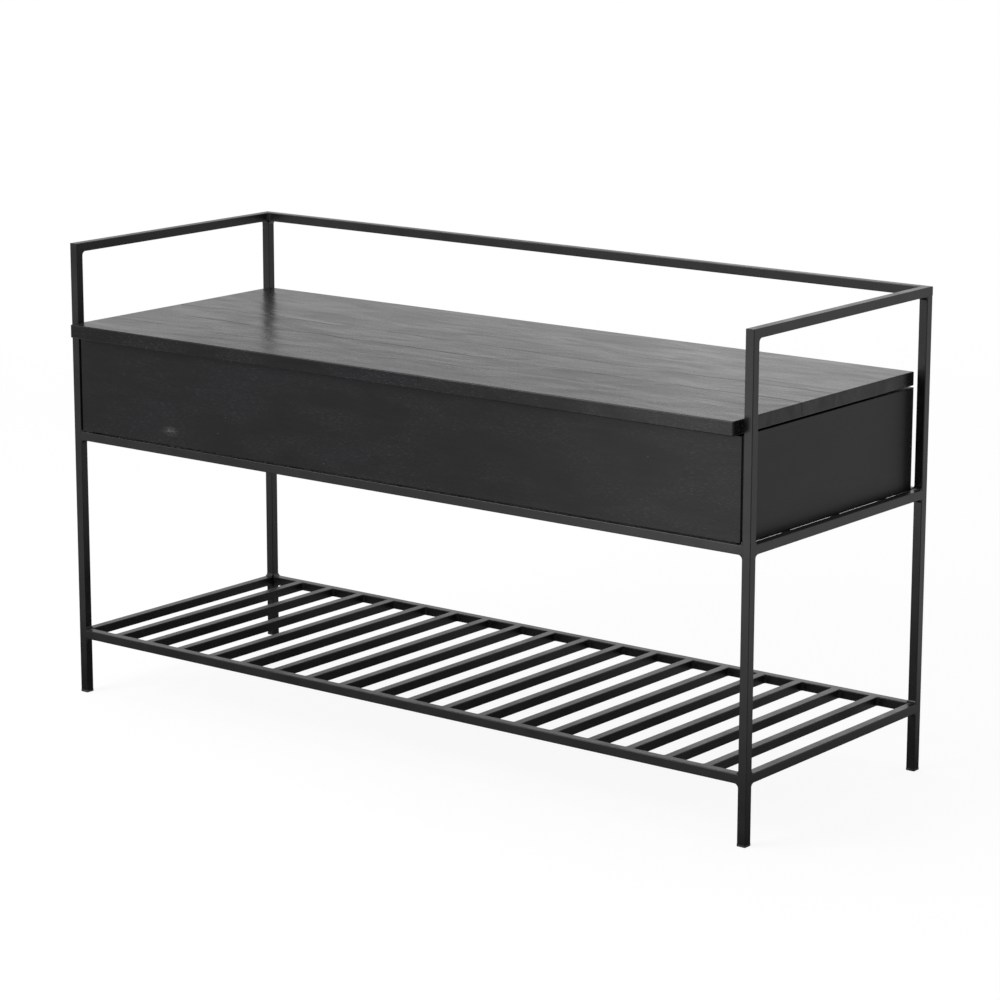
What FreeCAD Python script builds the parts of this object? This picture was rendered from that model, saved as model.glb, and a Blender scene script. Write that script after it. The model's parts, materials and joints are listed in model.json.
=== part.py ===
import FreeCAD, Part
import os
import re
import Sketcher

# Entryway bench: a welded frame of square steel tube carries a wooden storage box
# under a hinged seat lid, and a slatted shoe shelf near the floor.
#
# Millimetres. X runs along the bench, Y from its front to its back, Z up.
# The origin lies on the floor, under the middle of the bench's overall box.

SIZES = {
    # the tube frame
    "frame_width": 1100,
    "frame_depth": 400,
    "frame_height": 625,
    "tube_side": 12,
    "tube_wall": 1.2,
    "tube_corner": 1,
    "seat_rail_top": 368,
    "shelf_rail_top": 89,
    "slat_count": 18,
    "slat_side": 12,
    "rail_weld_leg": 4.5,
    "slat_weld_leg": 3.5,
    "weld_inset": 0.5,
    # the plastic caps under the posts
    "foot_rim": 0.3,
    "foot_thickness": 3,
    "foot_plug_height": 14,
    "foot_plug_clearance": 0.1,
    "foot_edge_radius": 0.6,
    # the storage box
    "post_gap": 3,
    "panel_thickness": 18,
    "front_recess": 1,
    "front_lift": 1.6,
    "box_lift": -1.7,
    "back_setback": 14,
    "panel_edge_radius": 0.8,
    "panel_corner_radius": 2.2,
    "floor_thickness": 9,
    "floor_lift": 8.2,
    "groove_depth": 6,
    "dowel_radius": 4,
    "dowel_length": 30,
    "dowel_depth": 12,
    "dowel_clearance": 0.1,
    "dowel_inset": 25,
    # the tabs that the box stands on
    "tab_width": 12,
    "tab_thickness": 2,
    "tab_reach": 22,
    "tab_first": 103,
    "tab_pitch": 109,
    "tab_screw_radius": 2,
    "tab_screw_length": 18,
    "tab_head_radius": 3.5,
    "tab_head_height": 2,
    # the lid and its hinges
    "lid_top": 518,
    "lid_thickness": 18,
    "lid_overhang": 18,
    "lid_gap": 2.2,
    "lid_edge_radius": 1.5,
    "hinge_inset": 185,
    "leaf_length": 66,
    "leaf_depth": 15,
    "leaf_play": 0.3,
    "knuckle_radius": 3.5,
    "knuckle_standoff": 0.3,
    "hinge_pin_radius": 1.5,
    "hinge_pin_play": 0.05,
    "hinge_screw_radius": 1.4,
    "hinge_screw_length": 13,
    "hinge_screw_pitch": 23,
    "hinge_head_radius": 2.3,
    "hinge_head_height": 0.9,
    "screw_clearance": 0.15,
    "bumper_radius": 5,
    "bumper_play": 0.2,
    "bumper_inset": 40,
}

# Places and sizes that follow from the driving ones. Each may use the ones above it.
PLACES = {
    "right_face": "frame_width / 2",
    "front_face": "(lid_overhang - foot_rim - frame_depth) / 2",
    "back_face": "front_face + frame_depth",
    "inner_right": "right_face - tube_side",
    "inner_front": "front_face + tube_side",
    "inner_back": "back_face - tube_side",
    "top_rail_bottom": "frame_height - tube_side",
    "slat_gap": "(inner_right * 2 - slat_count * slat_side) / (slat_count + 1)",
    "box_right": "inner_right - post_gap",
    "box_inner_right": "box_right - panel_thickness",
    "box_front": "front_face + front_recess",
    "box_inner_front": "box_front + panel_thickness",
    "box_back": "back_face - back_setback",
    "box_inner_back": "box_back - panel_thickness",
    "box_bottom": "seat_rail_top + box_lift",
    "front_bottom": "seat_rail_top + front_lift",
    "lid_bottom": "lid_top - lid_thickness",
    "box_top": "lid_bottom - lid_gap",
    "floor_bottom": "box_bottom + floor_lift",
    "floor_right": "box_inner_right + groove_depth",
    "floor_front": "box_inner_front - groove_depth",
    "floor_back": "box_inner_back + groove_depth",
    "side_middle": "box_right - panel_thickness / 2",
    "front_middle": "box_front + panel_thickness / 2",
    "back_middle": "box_back - panel_thickness / 2",
    "dowel_low": "floor_bottom + floor_thickness + dowel_inset - floor_lift",
    "dowel_high": "box_top - dowel_inset",
    "dowel_centre": "(dowel_low + dowel_high) / 2",
    "dowel_rest": "dowel_length - dowel_depth",
    "dowel_hole": "dowel_radius + dowel_clearance",
    "tab_bottom": "box_bottom - tab_thickness",
    "tab_screw_line": "box_right - (panel_thickness - groove_depth) / 2",
    "leaf_thickness": "(lid_gap - leaf_play) / 2",
    "hinge_right": "box_right - hinge_inset",
    "hinge_height": "box_top + lid_gap / 2",
    "hinge_back": "box_back + knuckle_standoff + knuckle_radius",
    "knuckle_bore": "hinge_pin_radius + hinge_pin_play",
    "leaf_root": "hinge_back - (knuckle_radius + knuckle_bore) / 2",
    "knuckle_half": "leaf_length / 6",
    "hinge_screw_reach": "hinge_screw_length - leaf_thickness",
}

DOWEL_HEIGHTS = ("dowel_low", "dowel_centre", "dowel_high")
TABS_PER_SIDE = 3
SCREWS_PER_LEAF = 3
# How far a quarter circle's middle lies from its square's corner, as a share of both sides.
QUARTER_ROUND = 1 - 0.5 ** 0.5
# A ground weld is a little fuller than a quarter round.
WELD_FULLNESS = 0.34

doc = FreeCAD.newDocument("EntrywayBench")
sheet = doc.addObject("Spreadsheet::Sheet", "Sizes")
subparts = []


# ---------------------------------------------------------------- sizes and expressions

def fill_sheet():
    """Give every driving size its own cell, with its name as the alias."""
    for row, (alias, number) in enumerate(SIZES.items(), start=1):
        sheet.set(f"A{row}", alias)
        sheet.set(f"B{row}", str(number))
        sheet.setAlias(f"B{row}", alias)
    doc.recompute()


def spelled(expression):
    """Spell an expression out in the sheet's own cells."""
    def spell(word):
        name = word.group()
        if name in PLACES:
            return f"({spelled(PLACES[name])})"
        if name in SIZES:
            return f"Sizes.{name}"
        return name
    return re.sub(r"[a-z][a-z_]*", spell, expression)


def value(expression):
    """The number that an expression of sizes and places has now."""
    return float(sheet.evalExpression(spelled(expression)))


def bind(thing, **properties):
    """Tie properties to expressions. A double underscore stands for a dot in a path."""
    for name, expression in properties.items():
        thing.setExpression(name.replace("__", "."), spelled(expression))


def subpart(thing, label):
    """Name a finished piece and list it for the export."""
    thing.Label = label
    subparts.append(thing)
    return thing


# ---------------------------------------------------------------- sketches and features

def sketch_on(body, plane, place):
    """A sketch on one of the body's origin planes, moved to a place along the third axis."""
    sketch = body.newObject("Sketcher::SketchObject", "Sketch")
    support = next(item for item in body.Origin.OriginFeatures if item.Role == f"{plane}_Plane")
    sketch.AttachmentSupport = [(support, "")]
    sketch.MapMode = "FlatFace"
    # The XZ plane faces -Y, so a place along +Y is a negative offset there.
    bind(sketch, AttachmentOffset__Base__z=f"-({place})" if plane == "XZ" else place)
    return sketch


def pin_point(sketch, geometry, point, spot):
    """Hold a point of the sketch at a pair of expressions."""
    for kind, expression in zip(("DistanceX", "DistanceY"), spot):
        rule = Sketcher.Constraint(kind, -1, 1, geometry, point, value(expression))
        index = sketch.addConstraint(rule)
        bind(sketch, **{f"Constraints[{index}]": expression})


def polygon(sketch, corners):
    """A closed outline whose corners are pairs of expressions."""
    spots = [FreeCAD.Vector(value(across), value(up), 0) for across, up in corners]
    lines = []
    for start, end in zip(spots, spots[1:] + spots[:1]):
        lines.append(sketch.addGeometry(Part.LineSegment(start, end), False))
    for line, following in zip(lines, lines[1:] + lines[:1]):
        sketch.addConstraint(Sketcher.Constraint("Coincident", line, 2, following, 1))
    for line, corner in zip(lines, corners):
        pin_point(sketch, line, 1, corner)


def rectangle(sketch, low, high):
    """An upright rectangle between two corners, each a pair of expressions."""
    polygon(sketch, [low, (high[0], low[1]), high, (low[0], high[1])])


def circle(sketch, centre, radius):
    """A circle about a pinned centre."""
    spot = FreeCAD.Vector(value(centre[0]), value(centre[1]), 0)
    ring = Part.Circle(spot, FreeCAD.Vector(0, 0, 1), value(radius))
    geometry = sketch.addGeometry(ring, False)
    pin_point(sketch, geometry, 3, centre)
    index = sketch.addConstraint(Sketcher.Constraint("Radius", geometry, value(radius)))
    bind(sketch, **{f"Constraints[{index}]": radius})


def pad(body, sketch, plane, length):
    """Add material from the sketch towards the positive end of the third axis."""
    feature = body.newObject("PartDesign::Pad", "Pad")
    feature.Profile = sketch
    feature.Reversed = plane == "XZ"
    bind(feature, Length=length)
    doc.recompute()


def pocket(body, sketch, plane, length):
    """Cut from the sketch towards the positive end of the third axis, and prove that it cut."""
    before = body.Shape.Volume
    feature = body.newObject("PartDesign::Pocket", "Pocket")
    feature.Profile = sketch
    feature.Reversed = plane != "XZ"
    bind(feature, Length=length)
    doc.recompute()
    if body.Shape.Volume >= before:
        raise RuntimeError(f"{body.Label}: a pocket cut nothing")


def round_edges(body, radius, chosen):
    """Round the edges that a test picks from the body as it stands."""
    names = [f"Edge{index}" for index, edge in enumerate(body.Shape.Edges, start=1) if chosen(edge)]
    base = body.Tip
    feature = body.newObject("PartDesign::Fillet", "Fillet")
    feature.Base = (base, names)
    bind(feature, Radius=radius)
    doc.recompute()


def runs_along(edge, axis):
    """Whether a straight edge lies along the axis, 0, 1 or 2."""
    step = edge.Vertexes[-1].Point - edge.Vertexes[0].Point
    return abs(abs(step[axis]) - step.Length) < 1e-6 < step.Length


def on_corner(edge, box, axis):
    """Whether an edge lies on one of the box's four edges along the axis."""
    spot = edge.CenterOfMass
    lows = (box.XMin, box.YMin, box.ZMin)
    highs = (box.XMax, box.YMax, box.ZMax)
    others = [other for other in range(3) if other != axis]
    return all(min(abs(spot[k] - lows[k]), abs(spot[k] - highs[k])) < 1e-6 for k in others)


# ---------------------------------------------------------------- the tube frame

PLANE_ACROSS = {"X": "YZ", "Y": "XZ", "Z": "XY"}


def tube(label, axis, start, length, low, side="tube_side"):
    """A square tube with rounded corners: low is the low corner of its section."""
    body = doc.addObject("PartDesign::Body", "Tube")
    plane = PLANE_ACROSS[axis]
    sketch = sketch_on(body, plane, start)
    rectangle(sketch, low, tuple(f"{place} + {side}" for place in low))
    inner_low = tuple(f"{place} + tube_wall" for place in low)
    rectangle(sketch, inner_low, tuple(f"{place} + {side} - tube_wall" for place in low))
    pad(body, sketch, plane, length)
    along = "XYZ".index(axis)
    box = body.Shape.BoundBox
    round_edges(body, "tube_corner", lambda edge: runs_along(edge, along) and on_corner(edge, box, along))
    return subpart(body, label)


def mitre(body, plane, start, corners):
    """Cut one end of a tube to 45 degrees: the corners are those of the piece cut away."""
    sketch = sketch_on(body, plane, start)
    polygon(sketch, corners)
    pocket(body, sketch, plane, "tube_side")


def low_side(side):
    """The low X of a tube on the left or the right."""
    return "-right_face" if side == "left" else "inner_right"


def make_posts():
    for side in ("left", "right"):
        front = tube(f"post_front_{side}", "Z", "foot_thickness", "frame_height - foot_thickness",
                     (low_side(side), "front_face"))
        mitre(front, "YZ", low_side(side), [
            ("front_face", "frame_height"),
            ("inner_front", "top_rail_bottom"),
            ("inner_front", "frame_height"),
        ])
        tube(f"post_back_{side}", "Z", "foot_thickness", "top_rail_bottom - foot_thickness",
             (low_side(side), "inner_back"))


def make_top_rails():
    for side, sign in (("left", "-"), ("right", "")):
        rail = tube(f"top_rail_{side}", "Y", "front_face", "frame_depth",
                    (low_side(side), "top_rail_bottom"))
        mitre(rail, "YZ", low_side(side), [
            ("front_face", "top_rail_bottom"),
            ("inner_front", "top_rail_bottom"),
            ("front_face", "frame_height"),
        ])
        mitre(rail, "XY", "top_rail_bottom", [
            (f"{sign}inner_right", "inner_back"),
            (f"{sign}inner_right", "back_face"),
            (f"{sign}right_face", "back_face"),
        ])
    rail = tube("top_rail_back", "X", "-right_face", "frame_width", ("inner_back", "top_rail_bottom"))
    for sign in ("-", ""):
        mitre(rail, "XY", "top_rail_bottom", [
            (f"{sign}inner_right", "inner_back"),
            (f"{sign}right_face", "inner_back"),
            (f"{sign}right_face", "back_face"),
        ])


def make_rail_ring(name, top):
    """Four rails between the posts, at the seat or at the shelf."""
    bottom = f"{top} - tube_side"
    tube(f"{name}_front", "X", "-inner_right", "inner_right * 2", ("front_face", bottom))
    tube(f"{name}_back", "X", "-inner_right", "inner_right * 2", ("inner_back", bottom))
    for side in ("left", "right"):
        tube(f"{name}_{side}", "Y", "inner_front", "inner_back - inner_front", (low_side(side), bottom))


def slat_left(index):
    """The low X of a slat, counted from the left."""
    return f"-inner_right + slat_gap + {index} * (slat_gap + slat_side)"


def make_slats():
    for index in range(SIZES["slat_count"]):
        tube(f"shelf_slat_{index + 1:02d}", "Y", "inner_front", "inner_back - inner_front",
             (slat_left(index), "shelf_rail_top - slat_side"), side="slat_side")


def make_foot_caps():
    """A plastic cap under each post: a flange on the floor and a plug inside the tube."""
    for depth, low_y in (("front", "front_face"), ("back", "inner_back")):
        for side in ("left", "right"):
            body = doc.addObject("PartDesign::Body", "FootCap")
            low = (low_side(side), low_y)
            flange = sketch_on(body, "XY", "0")
            rectangle(flange, tuple(f"{place} - foot_rim" for place in low),
                      tuple(f"{place} + tube_side + foot_rim" for place in low))
            pad(body, flange, "XY", "foot_thickness")
            box = body.Shape.BoundBox
            round_edges(body, "tube_corner + foot_rim",
                        lambda edge: runs_along(edge, 2) and on_corner(edge, box, 2))
            round_edges(body, "foot_edge_radius", lambda edge: edge.BoundBox.ZMax < 1e-6)
            inset = "tube_wall + foot_plug_clearance"
            plug = sketch_on(body, "XY", "foot_thickness")
            rectangle(plug, tuple(f"{place} + {inset}" for place in low),
                      tuple(f"{place} + tube_side - ({inset})" for place in low))
            pad(body, plug, "XY", "foot_plug_height")
            subpart(body, f"foot_cap_{depth}_{side}")


# ---------------------------------------------------------------- the welds

AXES = {
    "x": FreeCAD.Vector(1, 0, 0),
    "y": FreeCAD.Vector(0, 1, 0),
    "z": FreeCAD.Vector(0, 0, 1),
}


def prism(corner, leg, other_leg, run, fullness):
    """Filler in a corner: a triangle whose long side is hollow, drawn along the joint."""
    tip = corner + leg
    other_tip = corner + other_leg
    middle = corner + (leg + other_leg) * fullness
    outline = Part.Wire([
        Part.makeLine(corner, tip),
        Part.Arc(tip, middle, other_tip).toShape(),
        Part.makeLine(other_tip, corner),
    ])
    return Part.Face(outline).extrude(run)


def weld_group(label, welds):
    """One node of weld beads, each a solid of its own."""
    group = doc.addObject("Part::Feature", "Welds")
    group.Shape = Part.makeCompound(welds)
    subpart(group, label)


def corner_signs():
    """The four posts: the sign of X and of Y, the inner faces and the outer faces."""
    right = value("right_face")
    inner_right = value("inner_right")
    fronts = {-1: (value("inner_front"), value("front_face")), 1: (value("inner_back"), value("back_face"))}
    for sign_x in (-1, 1):
        for sign_y, (inner_y, outer_y) in fronts.items():
            yield sign_x, sign_y, sign_x * inner_right, inner_y, sign_x * right, outer_y


def make_ring_welds(label, top_name):
    """Beads above and below each rail end, and the flush fill at the post's rounded edge."""
    leg = value("rail_weld_leg")
    corner = value("tube_corner")
    inset = value("weld_inset")
    run = value("tube_side") - 2 * inset
    top = value(top_name)
    bottom = top - value("tube_side")
    welds = []
    for sign_x, sign_y, inner_x, inner_y, outer_x, outer_y in corner_signs():
        low_x = min(inner_x, outer_x) + inset
        low_y = min(inner_y, outer_y) + inset
        for height, sign_z in ((top, 1), (bottom, -1)):
            up = AXES["z"] * (leg * sign_z)
            welds.append(prism(FreeCAD.Vector(inner_x, low_y, height), AXES["x"] * (-leg * sign_x), up,
                               AXES["y"] * run, WELD_FULLNESS))
            welds.append(prism(FreeCAD.Vector(low_x, inner_y, height), AXES["y"] * (-leg * sign_y), up,
                               AXES["x"] * run, WELD_FULLNESS))
        rise = AXES["z"] * run
        welds.append(prism(FreeCAD.Vector(inner_x, outer_y, bottom + inset), AXES["x"] * (corner * sign_x),
                           AXES["y"] * (-corner * sign_y), rise, QUARTER_ROUND))
        welds.append(prism(FreeCAD.Vector(outer_x, inner_y, bottom + inset), AXES["y"] * (corner * sign_y),
                           AXES["x"] * (-corner * sign_x), rise, QUARTER_ROUND))
    weld_group(label, welds)


def make_top_welds():
    """Beads in the inner corners of the top rails, and the flush fill over the back posts."""
    leg = value("rail_weld_leg")
    corner = value("tube_corner")
    inset = value("weld_inset")
    run = value("tube_side") - 2 * inset
    bottom = value("top_rail_bottom")
    welds = []
    for sign_x, sign_y, inner_x, inner_y, outer_x, outer_y in corner_signs():
        low_x = min(inner_x, outer_x) + inset
        low_y = min(inner_y, outer_y) + inset
        down = AXES["z"] * -leg
        welds.append(prism(FreeCAD.Vector(low_x, inner_y, bottom), AXES["y"] * (-leg * sign_y), down,
                           AXES["x"] * run, WELD_FULLNESS))
        if sign_y < 0:
            continue
        inward_x = AXES["x"] * (-leg * sign_x)
        welds.append(prism(FreeCAD.Vector(inner_x, low_y, bottom), inward_x, down,
                           AXES["y"] * run, WELD_FULLNESS))
        welds.append(prism(FreeCAD.Vector(inner_x, inner_y, bottom + inset), inward_x, AXES["y"] * -leg,
                           AXES["z"] * run, WELD_FULLNESS))
        rise = AXES["z"] * corner
        welds.append(prism(FreeCAD.Vector(outer_x, low_y, bottom), AXES["x"] * (-corner * sign_x), rise,
                           AXES["y"] * run, QUARTER_ROUND))
        welds.append(prism(FreeCAD.Vector(low_x, outer_y, bottom), AXES["y"] * -corner, rise,
                           AXES["x"] * run, QUARTER_ROUND))
    weld_group("top_corner_welds", welds)


def make_slat_welds():
    """A bead each side of each slat end, and the flush fill over the rail's rounded edge."""
    leg = value("slat_weld_leg")
    corner = value("tube_corner")
    inset = value("weld_inset")
    side = value("slat_side")
    run = side - 2 * inset
    top = value("shelf_rail_top")
    # A slat deeper than the rail is welded only where the rail stands behind it.
    rise = min(side, value("tube_side")) - 2 * inset
    welds = []
    for index in range(SIZES["slat_count"]):
        left = value(slat_left(index))
        for inner_y, sign_y in ((value("inner_front"), -1), (value("inner_back"), 1)):
            inward = AXES["y"] * (-leg * sign_y)
            for edge_x, sign_x in ((left, -1), (left + side, 1)):
                foot = FreeCAD.Vector(edge_x, inner_y, top - inset - rise)
                aside = AXES["x"] * (leg * sign_x)
                welds.append(prism(foot, aside, inward, AXES["z"] * rise, WELD_FULLNESS))
            welds.append(prism(FreeCAD.Vector(left + inset, inner_y, top), AXES["y"] * (corner * sign_y),
                               AXES["z"] * -corner, AXES["x"] * run, QUARTER_ROUND))
    weld_group("shelf_slat_welds", welds)


# ---------------------------------------------------------------- rods, screws and groups

TURNS = {
    "X": FreeCAD.Rotation(FreeCAD.Vector(0, 1, 0), 90),
    "Y": FreeCAD.Rotation(FreeCAD.Vector(1, 0, 0), -90),
    "Z": FreeCAD.Rotation(),
}


def rod(axis, spot, length, radius):
    """A round bar from a spot towards the positive end of its axis."""
    bar = doc.addObject("Part::Cylinder", "Rod")
    bar.Placement = FreeCAD.Placement(FreeCAD.Vector(), TURNS[axis])
    bind(bar, Placement__Base__x=spot[0], Placement__Base__y=spot[1], Placement__Base__z=spot[2],
         Height=length, Radius=radius)
    return bar


def block(low, size):
    """A square block from its low corner."""
    box = doc.addObject("Part::Box", "Block")
    bind(box, Placement__Base__x=low[0], Placement__Base__y=low[1], Placement__Base__z=low[2],
         Length=size[0], Width=size[1], Height=size[2])
    return box


def cone(spot, height, low_radius, high_radius):
    """An upright cone from a spot."""
    shape = doc.addObject("Part::Cone", "Cone")
    bind(shape, Placement__Base__x=spot[0], Placement__Base__y=spot[1], Placement__Base__z=spot[2],
         Height=height, Radius1=low_radius, Radius2=high_radius)
    return shape


def fused(base, tool):
    """Two primitives as one solid."""
    joint = doc.addObject("Part::Fuse", "Fused")
    joint.Base = base
    joint.Tool = tool
    return joint


def drilled(base, tool):
    """A primitive with another one cut out of it."""
    cut = doc.addObject("Part::Cut", "Drilled")
    cut.Base = base
    cut.Tool = tool
    return cut


def group(label, pieces):
    """Like pieces kept as separate solids in one node."""
    together = doc.addObject("Part::Compound", "Group")
    together.Links = pieces
    subpart(together, label)


# ---------------------------------------------------------------- the storage box

def tab_middle(index):
    """The Y of a tab's middle, counted from the front."""
    return f"front_face + tab_first + {index} * tab_pitch"


def make_tabs():
    """Tabs welded inside the side rails: the box stands on them, and screws hold it down."""
    tabs = []
    screws = []
    for sign, tab_low in (("-", "-inner_right"), ("", "inner_right - tab_reach")):
        for index in range(TABS_PER_SIDE):
            middle = tab_middle(index)
            plate = block((tab_low, f"{middle} - tab_width / 2", "tab_bottom"),
                          ("tab_reach", "tab_width", "tab_thickness"))
            hole = rod("Z", (f"{sign}tab_screw_line", middle, "tab_bottom"), "tab_thickness",
                       "tab_screw_radius + screw_clearance")
            tabs.append(drilled(plate, hole))
            head = rod("Z", (f"{sign}tab_screw_line", middle, "tab_bottom - tab_head_height"),
                       "tab_head_height", "tab_head_radius")
            shank = rod("Z", (f"{sign}tab_screw_line", middle, "tab_bottom"),
                        "tab_thickness + tab_screw_length", "tab_screw_radius")
            screws.append(fused(head, shank))
    group("mounting_tabs", tabs)
    group("mounting_tab_screws", screws)


def make_front_panel():
    body = doc.addObject("PartDesign::Body", "FrontPanel")
    sketch = sketch_on(body, "XZ", "box_front")
    rectangle(sketch, ("-box_right", "front_bottom"), ("box_right", "box_top"))
    pad(body, sketch, "XZ", "panel_thickness")
    bottom = value("front_bottom")
    front = value("box_front")
    round_edges(body, "panel_corner_radius",
                lambda edge: runs_along(edge, 1) and abs(edge.CenterOfMass.z - bottom) < 1e-6)
    round_edges(body, "panel_edge_radius", lambda edge: edge.BoundBox.YMax < front + 1e-6)
    groove = sketch_on(body, "XZ", "floor_front")
    rectangle(groove, ("-floor_right", "floor_bottom"), ("floor_right", "floor_bottom + floor_thickness"))
    pocket(body, groove, "XZ", "groove_depth")
    holes = sketch_on(body, "XZ", "box_inner_front - dowel_depth")
    for height in DOWEL_HEIGHTS:
        circle(holes, ("-side_middle", height), "dowel_hole")
        circle(holes, ("side_middle", height), "dowel_hole")
    pocket(body, holes, "XZ", "dowel_depth")
    subpart(body, "box_front_panel")


def make_side_panel(side):
    sign = "-" if side == "left" else ""
    outer_low = "-box_right" if side == "left" else "box_inner_right"
    groove_low = "-floor_right" if side == "left" else "box_inner_right"
    dowel_low = "-box_inner_right - dowel_depth" if side == "left" else "box_inner_right"
    body = doc.addObject("PartDesign::Body", "SidePanel")
    sketch = sketch_on(body, "YZ", outer_low)
    rectangle(sketch, ("box_inner_front", "box_bottom"), ("box_back", "box_top"))
    pad(body, sketch, "YZ", "panel_thickness")
    outer = value(f"{sign}box_right")
    ends = (value("box_back"), value("box_top"), value("box_bottom"))
    round_edges(body, "panel_edge_radius", lambda edge: abs(edge.CenterOfMass.x - outer) < 1e-6 and (
        abs(edge.CenterOfMass.y - ends[0]) < 1e-6 or abs(edge.CenterOfMass.z - ends[1]) < 1e-6
        or abs(edge.CenterOfMass.z - ends[2]) < 1e-6))
    groove = sketch_on(body, "YZ", groove_low)
    rectangle(groove, ("box_inner_front", "floor_bottom"), ("floor_back", "floor_bottom + floor_thickness"))
    pocket(body, groove, "YZ", "groove_depth")
    front_holes = sketch_on(body, "XZ", "box_inner_front")
    back_holes = sketch_on(body, "YZ", dowel_low)
    for height in DOWEL_HEIGHTS:
        circle(front_holes, (f"{sign}side_middle", height), "dowel_hole")
        circle(back_holes, ("back_middle", height), "dowel_hole")
    pocket(body, front_holes, "XZ", "dowel_rest")
    pocket(body, back_holes, "YZ", "dowel_depth")
    screw_holes = sketch_on(body, "XY", "box_bottom")
    for index in range(TABS_PER_SIDE):
        circle(screw_holes, (f"{sign}tab_screw_line", tab_middle(index)),
               "tab_screw_radius + screw_clearance")
    pocket(body, screw_holes, "XY", "tab_screw_length")
    subpart(body, f"box_{side}_panel")


def leaf_screw_spots():
    """The X of each hinge screw on both hinges."""
    for sign in ("-", ""):
        for step in range(SCREWS_PER_LEAF):
            yield f"{sign}hinge_right + {step - 1} * hinge_screw_pitch"


def make_back_panel():
    body = doc.addObject("PartDesign::Body", "BackPanel")
    sketch = sketch_on(body, "XZ", "box_inner_back")
    rectangle(sketch, ("-box_inner_right", "box_bottom"), ("box_inner_right", "box_top"))
    pad(body, sketch, "XZ", "panel_thickness")
    groove = sketch_on(body, "XZ", "box_inner_back")
    rectangle(groove, ("-box_inner_right", "floor_bottom"),
              ("box_inner_right", "floor_bottom + floor_thickness"))
    pocket(body, groove, "XZ", "groove_depth")
    for low in ("-box_inner_right", "box_inner_right - dowel_rest"):
        holes = sketch_on(body, "YZ", low)
        for height in DOWEL_HEIGHTS:
            circle(holes, ("back_middle", height), "dowel_hole")
        pocket(body, holes, "YZ", "dowel_rest")
    screw_holes = sketch_on(body, "XY", "box_top - hinge_screw_reach")
    for spot in leaf_screw_spots():
        circle(screw_holes, (spot, "back_middle"), "hinge_screw_radius + screw_clearance")
    pocket(body, screw_holes, "XY", "hinge_screw_reach")
    subpart(body, "box_back_panel")


def make_floor_panel():
    body = doc.addObject("PartDesign::Body", "FloorPanel")
    sketch = sketch_on(body, "XY", "floor_bottom")
    rectangle(sketch, ("-floor_right", "floor_front"), ("floor_right", "floor_back"))
    pad(body, sketch, "XY", "floor_thickness")
    subpart(body, "box_floor_panel")


def make_dowels():
    """Hidden dowels: the front panel to the side panels, and the side panels to the back panel."""
    dowels = []
    for height in DOWEL_HEIGHTS:
        for sign in ("-", ""):
            dowels.append(rod("Y", (f"{sign}side_middle", "box_inner_front - dowel_depth", height),
                              "dowel_length", "dowel_radius"))
        for low in ("-box_inner_right - dowel_depth", "box_inner_right - dowel_rest"):
            dowels.append(rod("X", (low, "back_middle", height), "dowel_length", "dowel_radius"))
    group("box_corner_dowels", dowels)


# ---------------------------------------------------------------- the lid and its hinges

def make_lid():
    body = doc.addObject("PartDesign::Body", "SeatLid")
    sketch = sketch_on(body, "XY", "lid_bottom")
    rectangle(sketch, ("-box_right", "front_face - lid_overhang"), ("box_right", "box_back"))
    pad(body, sketch, "XY", "lid_thickness")
    round_edges(body, "lid_edge_radius", lambda edge: True)
    screw_holes = sketch_on(body, "XY", "lid_bottom")
    for spot in leaf_screw_spots():
        circle(screw_holes, (spot, "back_middle"), "hinge_screw_radius + screw_clearance")
    pocket(body, screw_holes, "XY", "hinge_screw_reach")
    subpart(body, "seat_lid")


def hinge_leaf(label, middle, leaf_low, face, points_up, notches):
    """A butt hinge leaf: a plate, its rolled knuckles and three countersunk holes."""
    body = doc.addObject("PartDesign::Body", "HingeLeaf")
    left = f"{middle} - leaf_length / 2"
    plate = sketch_on(body, "XY", leaf_low)
    rectangle(plate, (left, "box_back - leaf_depth"), (f"{middle} + leaf_length / 2", "leaf_root"))
    pad(body, plate, "XY", "leaf_thickness")
    ring = sketch_on(body, "YZ", left)
    circle(ring, ("hinge_back", "hinge_height"), "knuckle_radius")
    circle(ring, ("hinge_back", "hinge_height"), "knuckle_bore")
    pad(body, ring, "YZ", "leaf_length")
    gaps = sketch_on(body, "XY", "hinge_height - knuckle_radius")
    for low, high in notches:
        rectangle(gaps, (low, "box_back"), (high, "hinge_back + knuckle_radius"))
    pocket(body, gaps, "XY", "knuckle_radius * 2")
    spots = sketch_on(body, "XY", face)
    for step in range(SCREWS_PER_LEAF):
        circle(spots, (f"{middle} + {step - 1} * hinge_screw_pitch", "back_middle"), "hinge_screw_radius")
    doc.recompute()
    before = body.Shape.Volume
    holes = body.newObject("PartDesign::Hole", "ScrewHoles")
    holes.Profile = spots
    doc.recompute()
    holes.Reversed = points_up
    holes.DepthType = "ThroughAll"
    holes.HoleCutType = "Countersink"
    holes.HoleCutCustomValues = True
    holes.HoleCutCountersinkAngle = 90
    bind(holes, Diameter="(hinge_screw_radius + screw_clearance) * 2",
         HoleCutDiameter="(hinge_head_radius + screw_clearance) * 2")
    doc.recompute()
    if body.Shape.Volume >= before:
        raise RuntimeError(f"{label}: the screw holes cut nothing")
    subpart(body, label)


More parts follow.
